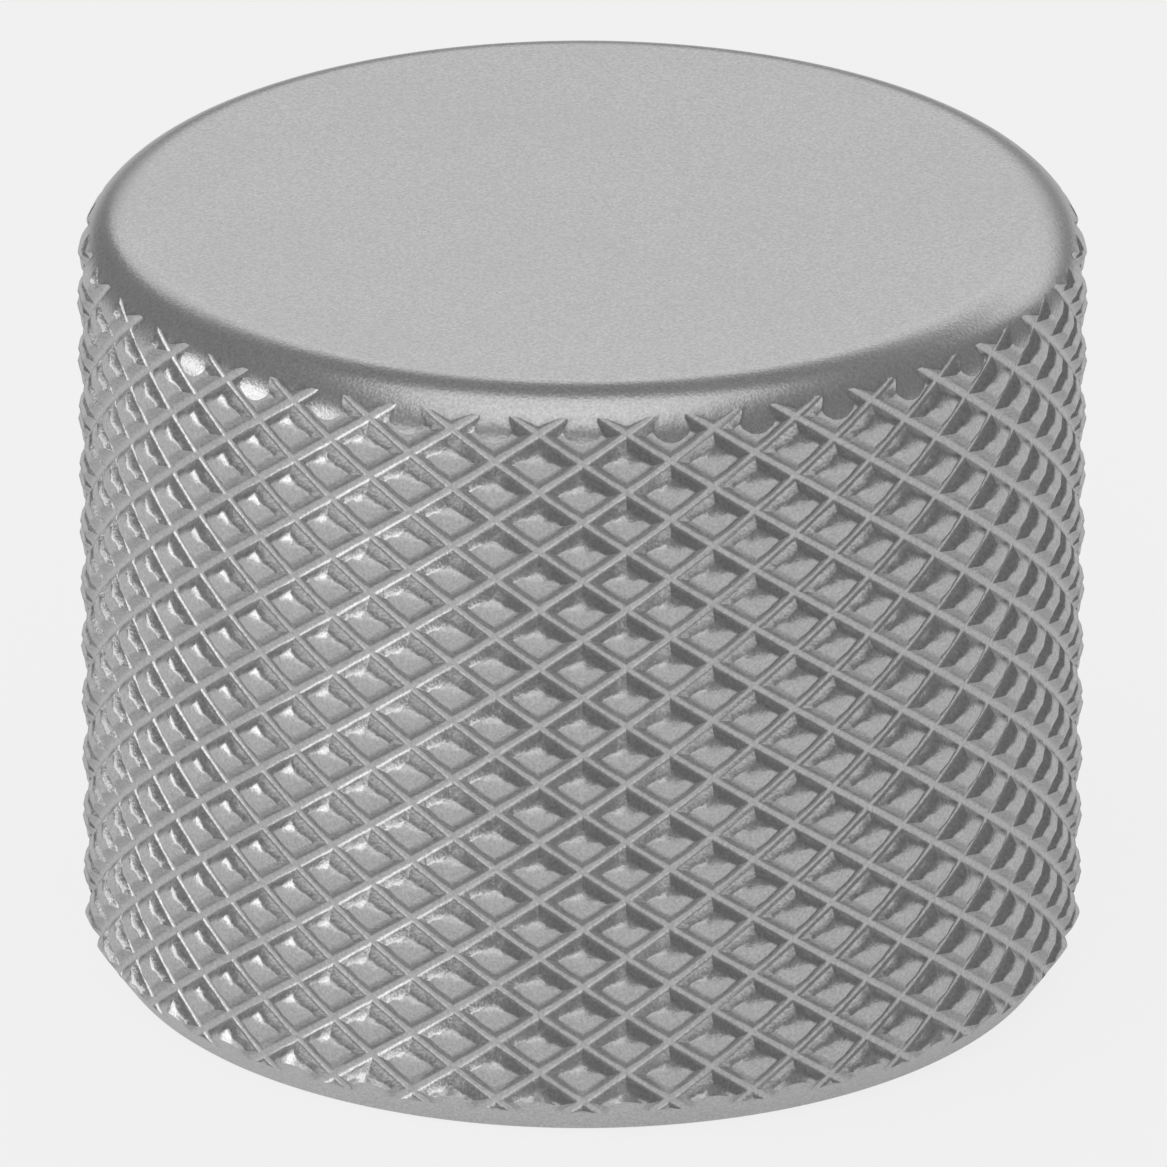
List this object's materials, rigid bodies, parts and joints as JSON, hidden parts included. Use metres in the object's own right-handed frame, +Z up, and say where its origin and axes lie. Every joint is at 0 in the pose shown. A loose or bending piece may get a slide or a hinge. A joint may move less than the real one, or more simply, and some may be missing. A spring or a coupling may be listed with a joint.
{
  "type": "rotary knob",
  "caption": "Solid turned round control knob with a crossed diamond knurl on its side, a rounded top edge, and a blind shaft bore locked by a grub screw.",
  "frame": {"origin": "centre of the base, on the axis of the shaft bore", "axes": "+Z up along the shaft bore towards the flat top, -Y the front, +Y the side of the grub screw"},
  "size_m": [0.02, 0.02, 0.0157],
  "materials": {
    "satin_aluminium": "bead-blasted satin",
    "black_steel": "black oxide, lightly oiled"
  },
  "bodies": {
    "root": {"knob_body": "satin_aluminium", "grub_screw": "black_steel"}
  },
  "joints": []
}
